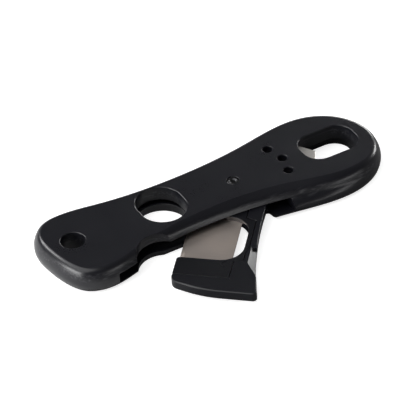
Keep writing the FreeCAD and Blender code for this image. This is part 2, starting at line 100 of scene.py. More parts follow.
# each height of the upper skin, how far it is drawn in round the ends, and at the front bevel
SKIN_PROFILE = [(1.9, 0.35, -0.33), (2.4, 0.22, -0.28), (3.0, 0.1, -0.12), (3.6, 0.02, 0.18),
                (4.2, 0.0, 0.65), (5.0, 0.05, 1.45), (5.4, 0.1, 1.95), (5.8, 0.18, 2.5),
                (6.4, 0.34, 2.83), (7.0, 0.54, 3.16), (7.6, 0.8, 3.5), (8.2, 1.1, 4.02),
                (8.6, 1.38, 4.66), (8.9, 1.65, 5.16), (9.15, 1.93, 5.58), (9.35, 2.22, 5.95),
                (9.5, 2.55, 6.2), (9.58, 2.85, 6.34), (9.6, 3.1, 6.45)]
# the same for the lower skin, which has no bevel
FOOT_PROFILE = [(0.0, 3.1), (0.03, 2.75), (0.14, 2.3), (0.35, 1.8), (0.65, 1.3), (1.0, 0.9),
                (1.4, 0.58), (1.72, 0.42)]
FLARE = 0.7                          # how far the front edge stands out below the bevel


# ---------------------------------------------------------------- loops
def anticlockwise(loop):
    """The loop as an array of points that runs anticlockwise."""
    points = np.array(loop, float)
    x, y = points[:, 0], points[:, 1]
    area = np.sum(x * np.roll(y, -1) - np.roll(x, -1) * y)
    return points if area > 0 else points[::-1].copy()


def smooth_loop(marks, steps=12):
    """A closed curve with continuous bend through the marks, steps points to a span."""
    marks = np.array(marks, float)
    count = len(marks)
    after = np.roll(marks, -1, axis=0)
    run = np.linalg.norm(after - marks, axis=1)
    system, right = np.zeros((count, count)), np.zeros((count, 2))
    for i in range(count):
        last, nxt = i - 1, (i + 1) % count
        system[i, last] += run[last]
        system[i, i] += 2 * (run[last] + run[i])
        system[i, nxt] += run[i]
        right[i] = 6 * ((after[i] - marks[i]) / run[i] - (marks[i] - marks[last]) / run[last])
    bend = np.linalg.solve(system, right)
    points = []
    for i in range(count):
        nxt = (i + 1) % count
        for step in range(steps):
            t = step / steps
            a, b = 1 - t, t
            points.append(a * marks[i] + b * marks[nxt]
                          + run[i] ** 2 / 6 * ((a ** 3 - a) * bend[i] + (b ** 3 - b) * bend[nxt]))
    return np.array(points)


def stations():
    """Points round the handle, each (x, y, share of the front bevel)."""
    points = []
    for degrees in (-75, -50, -25, 0, 25, 50, 75):
        angle = math.radians(degrees)
        radius = LOBE_R + LOBE_BULGE * math.cos(angle + math.radians(20)) ** 4
        share = 0.25 if degrees == -75 else 0.0
        points.append((LOBE_X + radius * math.cos(angle), radius * math.sin(angle), share))
    back = [(SHOULDER[0], SHOULDER[1], 0.0), (WAIST[0], WAIST[1] + WAIST[2], 0.0),
            (HIP[0], HIP[1] + HIP[2], 0.0), (TAIL[0], TAIL[1], 0.0)]
    front = [(TAIL[0], -TAIL[1] - TAIL[2], 0.0), (HIP[0], -HIP[1], 0.0),
             (WAIST[0], -WAIST[1], 0.9), (SHOULDER[0], -SHOULDER[1], 1.0)]
    corners = []
    for degrees, extra in ((125, TAIL_BACK), (155, TAIL_BACK), (205, -TAIL_SKEW), (235, -TAIL_SKEW / 4)):
        angle, radius = math.radians(degrees), TAIL_CORNER + extra
        side = 1 if degrees < 180 else -1
        corners.append((-TAIL_END + TAIL_CORNER + radius * math.cos(angle),
                        side * (TAIL[1] - TAIL_CORNER) + radius * math.sin(angle), 0.0))
    return points + back + corners[:2] + [(-TAIL_END, 0.0, 0.0)] + corners[2:] + front


def handle_loop(inset, front_inset):
    """The handle's outline drawn in by inset, and by front_inset where the front is bevelled."""
    marks = np.array(stations())
    along = np.roll(marks[:, :2], -1, axis=0) - np.roll(marks[:, :2], 1, axis=0)
    along /= np.linalg.norm(along, axis=1)[:, None]
    inward = np.stack([-along[:, 1], along[:, 0]], axis=1)
    shift = inset + (front_inset - inset) * marks[:, 2]
    return smooth_loop(marks[:, :2] + inward * shift[:, None])


def grown(loop, reach):
    """The loop moved outwards by reach, one number or one for each point."""
    back, ahead = loop - np.roll(loop, 1, axis=0), np.roll(loop, -1, axis=0) - loop
    back /= np.linalg.norm(back, axis=1)[:, None]
    ahead /= np.linalg.norm(ahead, axis=1)[:, None]
    out_back = np.stack([back[:, 1], -back[:, 0]], axis=1)
    out_ahead = np.stack([ahead[:, 1], -ahead[:, 0]], axis=1)
    middle = out_back + out_ahead
    middle /= np.linalg.norm(middle, axis=1)[:, None]
    stretch = 1 / np.maximum(0.4, np.sum(middle * out_back, axis=1))
    return loop + middle * (stretch * reach)[:, None]


def circle(radius, x=0.0, y=0.0, count=64):
    turns = np.arange(count) * 2 * math.pi / count
    return np.stack([x + radius * np.cos(turns), y + radius * np.sin(turns)], axis=1)


def cornered(corners, steps=10):
    """A loop of straight runs whose corners (x, y, radius) are rounded."""
    loop, count = [], len(corners)
    points = [Vector((x, y)) for x, y, _ in corners]
    for i, (_, _, radius) in enumerate(corners):
        here = points[i]
        if radius <= 0:
            loop.append(here)
            continue
        back, ahead = (points[i - 1] - here).normalized(), (points[(i + 1) % count] - here).normalized()
        half = back.angle(ahead) / 2
        middle = here + (back + ahead).normalized() * (radius / math.sin(half))
        start = here + back * (radius / math.tan(half)) - middle
        end = here + ahead * (radius / math.tan(half)) - middle
        sweep = start.angle_signed(end)
        for step in range(steps + 1):
            turned = start.copy()
            turned.rotate(Matrix.Rotation(-sweep * step / steps, 2))
            loop.append(middle + turned)
    return anticlockwise([(p.x, p.y) for p in loop])


def cutting_loop(grow=0.0):
    """The upper part of the cutting hole: round ends, longer across the handle."""
    radius, count = CUT_TOP_R + grow, 48
    turns = np.arange(count) * math.pi / (count - 1)
    high = [(CUT_TOP_X + radius * math.cos(t), CUT_TOP_HIGH + radius * math.sin(t)) for t in turns]
    low = [(CUT_TOP_X - radius * math.cos(t), CUT_TOP_LOW - radius * math.sin(t)) for t in turns]
    return np.array(high + low)


def turning_loop(step=0.0):
    low, high = HOLE_Y - TURN_FRONT, HOLE_Y + TURN_BACK - step
    return cornered([(TURN_LEFT, low, TURN_CORNER), (TURN_RIGHT, low, TURN_CORNER),
                     (TURN_RIGHT, high, TURN_CORNER), (TURN_LEFT, high, TURN_CORNER)])


# ---------------------------------------------------------------- solids
def solid(name, vertices, faces):
    """An object that holds a closed mesh given in millimetres."""
    mesh = bpy.data.meshes.new(name)
    mesh.from_pydata([tuple(float(c) * MM for c in v) for v in vertices], [], faces)
    item = bpy.data.objects.new(name, mesh)
    bpy.context.scene.collection.objects.link(item)
    return item


def stack(name, rows):
    """A closed solid of loops from the bottom up. A row's height is a number or one for each point."""
    count = len(rows[0][0])
    vertices, faces = [], []
    for loop, height in rows:
        heights = np.broadcast_to(height, count)
        vertices += [(x, y, z) for (x, y), z in zip(loop, heights)]
    for row in range(len(rows) - 1):
        base = row * count
        for i in range(count):
            j = (i + 1) % count
            faces.append((base + i, base + j, base + count + j, base + count + i))
    faces.append(tuple(reversed(range(count))))
    faces.append(tuple(range(len(vertices) - count, len(vertices))))
    return solid(name, vertices, faces)


def block(name, loop, low, high):
    return stack(name, [(loop, low), (loop, high)])


def hole(name, loop, low, high, soft_low=0.0, soft_high=0.0, blind=False, foot=None):
    """A cutter for a hole through faces at low and high, whose rims it rounds over. A blind one
    ends at high. The foot is a wider loop that the hole has below low."""
    steps = [math.radians(d) for d in (0, 18, 36, 54, 70)]
    run = math.tan(steps[-1])
    rows = []
    if soft_low > 0:
        fillet = [(low + soft_low - soft_low * math.sin(t), soft_low * (1 - math.cos(t))) for t in steps]
        rows += [(low - 0.5, fillet[-1][1] + (0.5 + fillet[-1][0] - low) * run)] + fillet[::-1]
    elif foot is None:
        rows.append((low - 0.5, 0.0))
    if soft_high > 0:
        fillet = [(high - soft_high + soft_high * math.sin(t), soft_high * (1 - math.cos(t)))
                  for t in steps]
        rows += fillet + [(high + 0.5, fillet[-1][1] + (0.5 + high - fillet[-1][0]) * run)]
    else:
        rows.append((high if blind else high + 0.5, 0.0))
    below = [] if foot is None else [(foot, low - 3.0), (foot, low - 0.1), (loop, low)]
    return stack(name, below + [(grown(loop, reach), z) for z, reach in rows])


def plain_mesh(item):
    """Turns the object into what its modifiers make of it, and drops them."""
    bpy.context.view_layer.update()
    made = bpy.data.meshes.new_from_object(item.evaluated_get(bpy.context.evaluated_depsgraph_get()))
    item.modifiers.clear()
    item.data = made
    return item


def combine(item, tools, operation="DIFFERENCE"):
    """Cuts the tools from the object, or joins them to it, and removes them."""
    for tool in tools:
        step = item.modifiers.new(tool.name, "BOOLEAN")
        step.object, step.operation, step.solver = tool, operation, "EXACT"
    plain_mesh(item)
    for tool in tools:
        bpy.data.objects.remove(tool)
    return item


def lathe(name, profile, x=0.0, y=0.0, count=64):
    """A turned solid: (radius, height) from the bottom up."""
    return stack(name, [(circle(radius, x, y, count), z) for radius, z in profile])


def shaded(item, sharp=30.0, soften=0.0):
    """Smooth shading with crisp edges, even across flat faces. soften rounds the sharp edges. Faces
    of many corners are cut up first, while their outline is as it was made."""
    tidy = bmesh.new()
    tidy.from_mesh(item.data)
    bmesh.ops.triangulate(tidy, faces=[f for f in tidy.faces if len(f.verts) > 4])
    bmesh.ops.remove_doubles(tidy, verts=tidy.verts, dist=0.01 * MM)
    bmesh.ops.dissolve_degenerate(tidy, edges=tidy.edges, dist=0.005 * MM)
    tidy.to_mesh(item.data)
    tidy.free()
    if soften > 0:
        edge = item.modifiers.new("edges", "BEVEL")
        edge.width, edge.segments, edge.limit_method = soften * MM, 2, "ANGLE"
        edge.angle_limit, edge.use_clamp_overlap = math.radians(38), False
        plain_mesh(item)
    item.data.shade_smooth()
    item.data.set_sharp_from_angle(angle=math.radians(sharp))
    even = item.modifiers.new("even_shading", "WEIGHTED_NORMAL")
    even.keep_sharp, even.weight = True, 60
    return plain_mesh(item)


def turned(item):
    """Takes a piece of the arm from its closed place to its open one."""
    item.data.transform(Matrix.Rotation(OPEN_ANGLE, 4, "Z"))
    return item


def hand_over(item, body, slot, finish, *nodes):
    """Gives a finished piece its material and body and hides the CAD nodes it stands for; slot is not used.
    """
    item.data.materials.clear()
    item.data.materials.append(finish)
    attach(item, body)
    if nodes:
        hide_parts(*nodes)
    return item


# ---------------------------------------------------------------- node trees
class Wire:
    """A value in a node tree. Arithmetic on it adds Math nodes."""

    def __init__(self, board, socket):
        self.board, self.socket = board, socket

    def maths(self, operation, first, second=0.0):
        return self.board.node("ShaderNodeMath", {"operation": operation}, {0: first, 1: second})

    def __add__(self, other):
        return self.maths("ADD", self, other)

    def __sub__(self, other):
        return self.maths("SUBTRACT", self, other)

    def __rsub__(self, other):
        return self.maths("SUBTRACT", other, self)

    def __mul__(self, other):
        return self.maths("MULTIPLY", self, other)

    __radd__, __rmul__ = __add__, __mul__


class Board:
    """A node tree and the one way that nodes are put into it."""

    def __init__(self, tree):
        self.tree = tree

    def node(self, kind, settings=None, inputs=None, output=0):
        made = self.tree.nodes.new(kind)
        for key, value in (settings or {}).items():
            if key == "stops":
                ramp = made.color_ramp
                while len(ramp.elements) < len(value):
                    ramp.elements.new(1.0)
                for element, (place, tone) in zip(ramp.elements, value):
                    element.position, element.color = place, tone
            else:
                setattr(made, key, value)
        for key, value in (inputs or {}).items():
            for each in value if isinstance(value, list) else [value]:
                if isinstance(each, Wire):
                    self.tree.links.new(each.socket, made.inputs[key])
                else:
                    made.inputs[key].default_value = each
        return Wire(self, made.outputs[output]) if len(made.outputs) else made


def grey(level):
    return (level, level, level, 1.0)


class Finish(Board):
    """A material: one principled shader and the pattern nodes behind it."""

    def __init__(self, name, **constants):
        self.material = bpy.data.materials.new(name)
        self.material.use_nodes = True
        super().__init__(self.material.node_tree)
        self.shader = next(n for n in self.tree.nodes if n.type == "BSDF_PRINCIPLED")
        for key, value in constants.items():
            self.shader.inputs[key.replace("_", " ")].default_value = value

    def feed(self, key, wire):
        self.tree.links.new(wire.socket, self.shader.inputs[key])

    def place(self, scale=(1.0, 1.0, 1.0), turn=0.0):
        """Object coordinates, stretched and turned about the pivot."""
        at = self.node("ShaderNodeTexCoord", output="Object")
        back = self.node("ShaderNodeMapping", {"vector_type": "POINT"},
                         {"Vector": at, "Rotation": (0.0, 0.0, -turn)})
        return self.node("ShaderNodeMapping", {"vector_type": "POINT"}, {"Vector": back, "Scale": scale})

    def noise(self, at, scale, detail=3.0, roughness=0.5, lacunarity=2.0):
        return self.node("ShaderNodeTexNoise", {},
                         {"Vector": at, "Scale": scale, "Detail": detail, "Roughness": roughness,
                          "Lacunarity": lacunarity})

    def ramp(self, value, *stops):
        return self.node("ShaderNodeValToRGB", {"stops": stops}, {"Fac": value})

    def blend(self, share, first, second):
        return self.node("ShaderNodeMix", {"data_type": "RGBA"}, {0: share, 6: first, 7: second}, output=2)

    def relief(self, height, strength, depth):
        self.feed("Normal", self.node("ShaderNodeBump", {}, {"Strength": strength, "Distance": depth,
                                                             "Height": height}))


def moulded_plastic(name, tone, gloss, grain, turn=0.0, wear_and_highlight=0.0):
    """Black moulded plastic: fine spark grain, faint flow clouding and handling scuffs. The last argument
    sets how strongly pale streaks are painted on a band of the flanks: partly rub marks, partly a painted
    highlight."""
    finish = Finish(name, IOR=1.42)
    at = finish.place(turn=turn)
    high = finish.node("ShaderNodeSeparateXYZ", {}, {0: at}, output=2)
    centimetres = high * 100.0
    flank = finish.ramp(centimetres, (0.50, grey(0.0)), (0.62, grey(1.0)),
                        (0.76, grey(1.0)), (0.84, grey(0.0)))
    clouds = finish.noise(at, 70.0, 3.0)
    spark = finish.noise(at, 3200.0, 2.0, 0.6)
    drag = finish.noise(finish.place((60.0, 900.0, 300.0), turn + 0.5), 1.0, 3.0, 0.6)
    scuffs = finish.ramp(drag, (0.60, grey(0.0)), (0.72, grey(1.0)))
    worn = scuffs * finish.ramp(clouds, (0.45, grey(0.0)), (0.65, grey(1.0)))
    light = tuple(c * 1.35 for c in tone[:3]) + (1.0,)
    dust = tuple(c * 1.9 + 0.002 for c in tone[:3]) + (1.0,)
    # Pale streaks in a band 5 to 8.4 mm up the flanks: partly rub marks, partly a painted highlight along
    # the bevel
    rub_highlight_tone = (0.075, 0.075, 0.082, 1.0)
    base = finish.blend(clouds, tone, light)
    rub_highlight_noise = finish.noise(finish.place((90.0, 1500.0, 1500.0), turn), 1.0, 4.0, 0.65)
    rubbed_and_highlit = finish.ramp(rub_highlight_noise, (0.50, grey(0.0)), (0.68, grey(1.0))) * flank * wear_and_highlight
    finish.feed("Base Color", finish.blend(rubbed_and_highlit, finish.blend(worn * 0.08, base, dust), rub_highlight_tone))
    finish.feed("Roughness", gloss + clouds * 0.07 + spark * 0.05 + worn * 0.03 + rubbed_and_highlit * 0.25)
    finish.relief(spark, grain, 0.00003)
    return finish.material


def brushed_steel(name, tone, gloss, along, turn=0.0):
    """Steel with fine straight grinding lines and a faint oil film."""
    finish = Finish(name, Metallic=1.0, IOR=2.5)
    lines = finish.noise(finish.place(along, turn), 1.0, 4.0, 0.7)
    film = finish.noise(finish.place(turn=turn), 90.0, 3.0)
    dark = tuple(c * 0.72 for c in tone[:3]) + (1.0,)
    warm = (tone[0] * 1.05, tone[1] * 0.99, tone[2] * 0.9, 1.0)
    brushed = finish.blend(lines, dark, tone)
    finish.feed("Base Color", finish.blend(film * 0.6, brushed, warm))
    finish.feed("Roughness", gloss + lines * 0.16 + film * 0.08)
    finish.relief(lines, 0.25, 0.00002)
    return finish.material


# ---------------------------------------------------------------- finishes
shell_black = moulded_plastic("shell_black", (0.0046, 0.0047, 0.0066, 1.0), 0.23, 0.18, wear_and_highlight=0.5)
arm_black = moulded_plastic("arm_black", (0.0032, 0.0034, 0.0050, 1.0), 0.24, 0.25, OPEN_ANGLE)
cover_black = moulded_plastic("cover_black", (0.0020, 0.0022, 0.0034, 1.0), 0.27, 0.3, OPEN_ANGLE)
blade_steel = brushed_steel("blade_steel", (0.76, 0.685, 0.645, 1.0), 0.28, (9000.0, 120.0, 120.0),
                            OPEN_ANGLE)
lip_steel = brushed_steel("lip_steel", (0.87, 0.86, 0.85, 1.0), 0.34, (300.0, 7000.0, 300.0))
pin_black = brushed_steel("pin_black", (0.045, 0.046, 0.050, 1.0), 0.24, (3000.0, 3000.0, 300.0))
screw_black = brushed_steel("screw_black", (0.10, 0.10, 0.105, 1.0), 0.36, (2500.0, 2500.0, 2500.0))
washer_steel = brushed_steel("washer_steel", (0.5, 0.5, 0.5, 1.0), 0.3, (3000.0, 3000.0, 300.0))


# ---------------------------------------------------------------- handle
def pocket_loop():
    """The room that the arm closes into, a little deeper behind its heel."""
    back, deeper = POCKET_BACK, POCKET_BACK + POCKET_STEP
    return cornered([(POCKET_LEFT, PAST_FRONT, 0), (POCKET_RIGHT, PAST_FRONT, 0),
                     (POCKET_RIGHT, back, POCKET_CORNER), (RIM_X + 3, back, 0),
                     (RIM_X - 1, deeper, 0), (POCKET_LEFT, deeper, 2.5)])


def lip_loop():
    return cornered([(LIP_ROOT, HOLE_Y - LIP_HALF, 1.0), (LIP_BACK, HOLE_Y - LIP_HALF, 0),
                     (LIP_POINT, HOLE_Y, 0.3), (LIP_BACK, HOLE_Y + LIP_HALF, 0),
                     (LIP_ROOT, HOLE_Y + LIP_HALF, 1.0)])


def make_upper_shell():
    rows = [(handle_loop(PART_LINE + PART_DROP, PART_LINE - PART_DROP), FLOOR_Z)]
    for z, inset, front_inset in SKIN_PROFILE:
        lift = PART_LIFT if z == FLOOR_Z else 0.0
        rows.append((handle_loop(inset, front_inset), z + lift))
    shell = stack("upper_shell_skin", rows)
    combine(shell, [block("pocket", pocket_loop(), 1.0, LIP_Z)])
    wall = block("wall", cutting_loop(CUT_WALL), BLADE_TOP + SLIT_GAP, LIP_Z + 0.5)
    combine(shell, [wall], "UNION")
    tools = [
        hole("cutting", cutting_loop(-RIM_SOFT), 1.0, TOP_Z, soft_high=RIM_SOFT),
        hole("ring", circle(RING_R - RIM_SOFT, RING_X, HOLE_Y, 72), 1.0, TOP_Z, soft_high=RIM_SOFT),
        block("notch", circle(NOTCH_R, NOTCH_X, NOTCH_Y, 96), 1.0, TOP_Z + 1),
        hole("turning", grown(turning_loop(TURN_STEP), -0.15), GIRTH_Z, TOP_Z, soft_high=RIM_SOFT,
             foot=turning_loop()),
        hole("pin_cap", circle(PIN_CAP_R + 0.18), TOP_Z - PIN_CAP_H, TOP_Z, soft_high=0.15),
        block("lip", grown(lip_loop(), 0.03), LIP_LOW - 0.02, LIP_TOP + 0.02),
    ]
    tools += [hole("row", circle(ROW_R, x, y, 40), 1.0, TOP_Z, soft_high=SMALL_SOFT) for x, y in ROW]
    tools += [block("screw", circle(SCREW_R, x, y, 24), 1.0, SCREW_LEN + SCREW_ROOM) for x, y in SCREWS]
    combine(shell, tools)
    return shaded(shell, soften=EDGE_SOFT)


def make_lower_shell():
    rows = [(handle_loop(inset, inset - FLARE), z) for z, inset in FOOT_PROFILE]
    rows.append((handle_loop(PART_LINE + 0.38, PART_LINE - 0.32), FLOOR_Z))
    shell = stack("lower_shell_skin", rows)
    wall_low = circle(CUT_R + CUT_WALL, CUT_X, HOLE_Y, 96)
    wall_top = BLADE_LOW - SLIT_GAP
    combine(shell, [block("wall", wall_low, FLOOR_Z - 0.5, wall_top)], "UNION")
    sill = cornered([(NOTCH_X, PAST_FRONT, 0), (SILL_RIGHT + 1.5, PAST_FRONT, 0),
                     (SILL_RIGHT, SILL_Y, 1.0), (NOTCH_X, SILL_Y, 0)])
    tools = [
        hole("cutting", circle(CUT_R - 0.15, CUT_X, HOLE_Y, 96), 0.0, wall_top, SMALL_SOFT, 0.15),
        block("sill", sill, -1.0, FLOOR_Z + 0.5),
        hole("ring", circle(RING_R - RIM_SOFT, RING_X, HOLE_Y, 72), 0.0, FLOOR_Z, soft_low=RIM_SOFT),
        hole("turning", turning_loop(), 0.0, FLOOR_Z, soft_low=SMALL_SOFT),
        block("notch", circle(NOTCH_LOW_R, NOTCH_X, NOTCH_Y, 96), -1.0, FLOOR_Z + 0.5),
        block("pin_head", circle(PIN_HEAD_R + FIT_GAP, count=48), -1.0, PIN_HEAD_H),
        block("pin_bore", circle(PIN_R + RUN_GAP, count=40), 0.5, FLOOR_Z + 1),
    ]
    tools += [hole("row", circle(ROW_R, x, y, 40), 0.0, FLOOR_Z, soft_low=SMALL_SOFT) for x, y in ROW]
    for x, y in SCREWS:
        tools.append(hole("seat", circle(SCREW_HEAD_R + FIT_GAP, x, y, 48), 0.0, SCREW_HEAD_H,
                          SMALL_SOFT, blind=True))
        tools.append(block("clear", circle(SCREW_R + FIT_GAP, x, y, 32), 0.5, FLOOR_Z + 1))
    combine(shell, tools)
    return shaded(shell, soften=EDGE_SOFT)


def make_lip():
    rows = [(grown(lip_loop(), -LIP_SOFT), LIP_LOW), (lip_loop(), LIP_LOW + LIP_SOFT),
            (lip_loop(), LIP_TOP - LIP_SOFT), (grown(lip_loop(), -LIP_SOFT), LIP_TOP)]
    return shaded(stack("steel_lip", rows))


def make_pin():
    """The pin, head down. Its cap has a ring pressed into it, and a dimple inside the ring."""
    cap, low = TOP_Z - PIN_CAP_H, PIN_SINK
    profile = [(PIN_HEAD_R - 0.25, low), (PIN_HEAD_R - 0.07, low + 0.07), (PIN_HEAD_R, low + 0.25),
               (PIN_HEAD_R, PIN_HEAD_H), (PIN_R, PIN_HEAD_H), (PIN_R, cap), (PIN_CAP_R, cap),
               (PIN_CAP_R, TOP_Z - 0.3), (PIN_CAP_R - 0.06, TOP_Z - 0.2), (PIN_CAP_R - 0.2, TOP_Z - 0.15),
               (1.5, TOP_Z - 0.13), (1.36, TOP_Z - 0.17), (1.26, TOP_Z - 0.3), (1.1, TOP_Z - 0.52),
               (0.8, TOP_Z - 0.6)]
    return shaded(lathe("pivot_pin_end", profile), sharp=40.0)


# ---------------------------------------------------------------- arm, closed place
LIP_EDGE = handle_loop(0.3, 2.5)


def front_edge(x):
    """Where the arm's outer edge lies: flush with the handle's lip, tucked in at the heel."""
    front = LIP_EDGE[LIP_EDGE[:, 1] < -5.0]
    front = front[np.argsort(front[:, 0])]
    share = min(1.0, max(0.0, (SCOOP_RIGHT - x) / (SCOOP_RIGHT - ARM_TIP)))
    return float(np.interp(x, front[:, 0], front[:, 1])) - EDGE_REACH + HEEL_TUCK * share


def inner_edge():
    return [(WINDOW_X + 3.0, ARM_BACK, 0.8), (WINDOW_X, INNER_Y + WINDOW_R + 0.1, 0),
            (WINDOW_X, INNER_Y, WINDOW_R), (RIM_X, INNER_Y, WINDOW_R),
            (RIM_X, ARM_BACK + RIM_RISE, 1.2)]


def outer_edge():
    rim = [(ARM_TIP + 4.0, ARM_BACK + RIM_RISE, HEEL_CORNER), (ARM_TIP + 0.2, 1.0, 40.0),
           (ARM_TIP, front_edge(ARM_TIP + 1.0), 1.4)]
    front = [(x, front_edge(x), 0) for x in (-46.0, -41.5, -37.0, -32.5, -28.0, -23.5, -19.0, -13.5)]
    hub = [(-8.0, front_edge(-8.0), 3.0), (HUB_R, front_edge(-8.0) + 1.0, HUB_R - 1.0),
           (HUB_R, ARM_BACK, HUB_R - 0.1)]
    return rim + front + hub


def cover_seam(back, grow):
    """The line where the cover meets the frame, from the rim round the front to the hub."""
    seam, front, tongue = SEAM_X - grow, SEAM_FRONT - grow, TONGUE_FRONT - grow
    right, hub, hub_front = TONGUE_RIGHT + grow, SEAM_RIGHT + grow, SEAM_HUB - grow
    return [(seam, back, 0.6), (seam, front, 0), (TONGUE_LEFT, front, 0),
            (TONGUE_LEFT + TONGUE_LEAN, tongue + 0.6, 0), (SCOOP_RIGHT - 2.4, tongue + 0.9, 0),
            (SCOOP_RIGHT, tongue, 0), (right - TONGUE_LEAN, tongue, 0), (right, hub_front, 0),
            (hub, hub_front, 0)]


def blade_corners():
    back = BLADE_FRONT - BLADE_WIDTH
    return [(BLADE_LEFT, back), (BLADE_RIGHT - BLADE_SLANT, back), (BLADE_RIGHT, BLADE_FRONT),
            (BLADE_LEFT, BLADE_FRONT)]


def make_arm_frame():
    """The arm's base. Its top edge is rounder at the heel, which the thumb pushes."""
    loop = cornered(inner_edge() + outer_edge())
    heel = np.clip((-47.5 - loop[:, 0]) / 4.0, 0.0, 1.0)
    heel *= np.clip((12.0 - loop[:, 1]) / 6.0, 0.0, 1.0)
    rows = []
    for degrees in (90, 60, 30, 0):
        angle = math.radians(degrees)
        rows.append((grown(loop, -ARM_SOFT_LOW * (1 - math.cos(angle))),
                     ARM_LOW + ARM_SOFT_LOW * (1 - math.sin(angle))))
    soft, tall = ARM_SOFT_HIGH + HEEL_SOFT * heel, ARM_SOFT_HIGH + HEEL_FALL * heel
    for degrees in (0, 15, 30, 45, 60, 75, 90):
        angle = math.radians(degrees)
        rows.append((grown(loop, -soft * (1 - math.cos(angle))),
                     ARM_HIGH - tall + tall * math.sin(angle)))
    arm = stack("arm_frame_body", rows)
    x, y = np.array(blade_corners()).T
    pocket = np.array([(x[0] - FIT_GAP, y[0] - FIT_GAP), (x[1] + FIT_GAP, y[1] - FIT_GAP),
                       (x[2] + FIT_GAP + 1.6, y[2] + 4.0), (x[3] - FIT_GAP, y[3] + 4.0)])
    edge = front_edge(SCOOP_BEND)
    low = ARM_LOW + SCOOP_FLOOR
    rise = (ARM_HIGH - low) / (SCOOP_INNER - edge)
    scoop = np.array([(SCOOP_LEFT, edge - 6.0), (SCOOP_RIGHT, edge - 6.0), (SCOOP_RIGHT, SCOOP_INNER),
                      (SCOOP_BEND, SCOOP_INNER)])
    past = ARM_BACK + 4
    seat = cornered(cover_seam(past, FIT_GAP) + [(SEAM_RIGHT + FIT_GAP, past, 0)])
    tools = [
        block("cover_seat", seat, BLADE_TOP, ARM_HIGH + 1),
        block("blade_seat", pocket, BLADE_LOW, ARM_HIGH + 1),
        stack("scoop", [(scoop, low + (scoop[:, 1] - edge) * rise), (scoop, ARM_HIGH + 1)]),
        block("bore", circle(PIN_R + RUN_GAP, count=40), ARM_LOW - 1, ARM_HIGH + 1),
        block("washer_low", circle(WASHER_SEAT_R), ARM_LOW - 1, ARM_LOW + WASHER_SEAT),
        block("washer_high", circle(WASHER_SEAT_R), ARM_HIGH - WASHER_SEAT, ARM_HIGH + 1),
    ]
    for px, py in CLAMPS:
        tools.append(block("clamp", circle(CLAMP_R + FIT_GAP, px, py, 24), ARM_LOW - 1, ARM_HIGH))
        tools.append(block("clamp_head", circle(CLAMP_HEAD_R + FIT_GAP, px, py, 32), ARM_LOW - 1,
                           ARM_LOW + CLAMP_HEAD_H))
    combine(arm, tools)
    return turned(shaded(arm, soften=0.1))


def make_blade_cover():
    loop = cornered(inner_edge() + cover_seam(ARM_BACK + RIM_RISE, -SEAM_GAP)
                    + [(SEAM_RIGHT - SEAM_GAP, ARM_BACK, 0)])
    rows = [(loop, BLADE_TOP), (loop, ARM_HIGH - 0.2), (grown(loop, -0.06), ARM_HIGH - 0.07),
            (grown(loop, -0.2), ARM_HIGH)]
    cover = stack("blade_cover_plate", rows)
    arrow = block("arrow", anticlockwise(ARROW), ARM_HIGH - 0.2, ARM_HIGH + ARROW_RISE)
    combine(cover, [arrow], "UNION")
    return turned(shaded(cover))


def make_blade():
    (x0, y0), (x1, y1), (x2, y2), (x3, y3) = blade_corners()
    lean = (x2 - x1) / (y2 - y1)
    rows = []
    for z, grind in ((BLADE_LOW, EDGE_GRIND), (BLADE_LOW + 0.27, 0.02), (BLADE_TOP - 0.27, 0.02),
                     (BLADE_TOP, EDGE_GRIND)):
        loop = [(x0, y0), (x1, y1), (x2 - lean * grind, y2 - grind), (x3, y3 - grind)]
        rows.append((np.array(loop), z))
    blade = stack("cutting_blade", rows)
    holes = [block("clamp", circle(CLAMP_R + FIT_GAP, px, py, 24), 3.0, 4.2) for px, py in CLAMPS]
    return turned(shaded(combine(blade, holes), sharp=8.0))


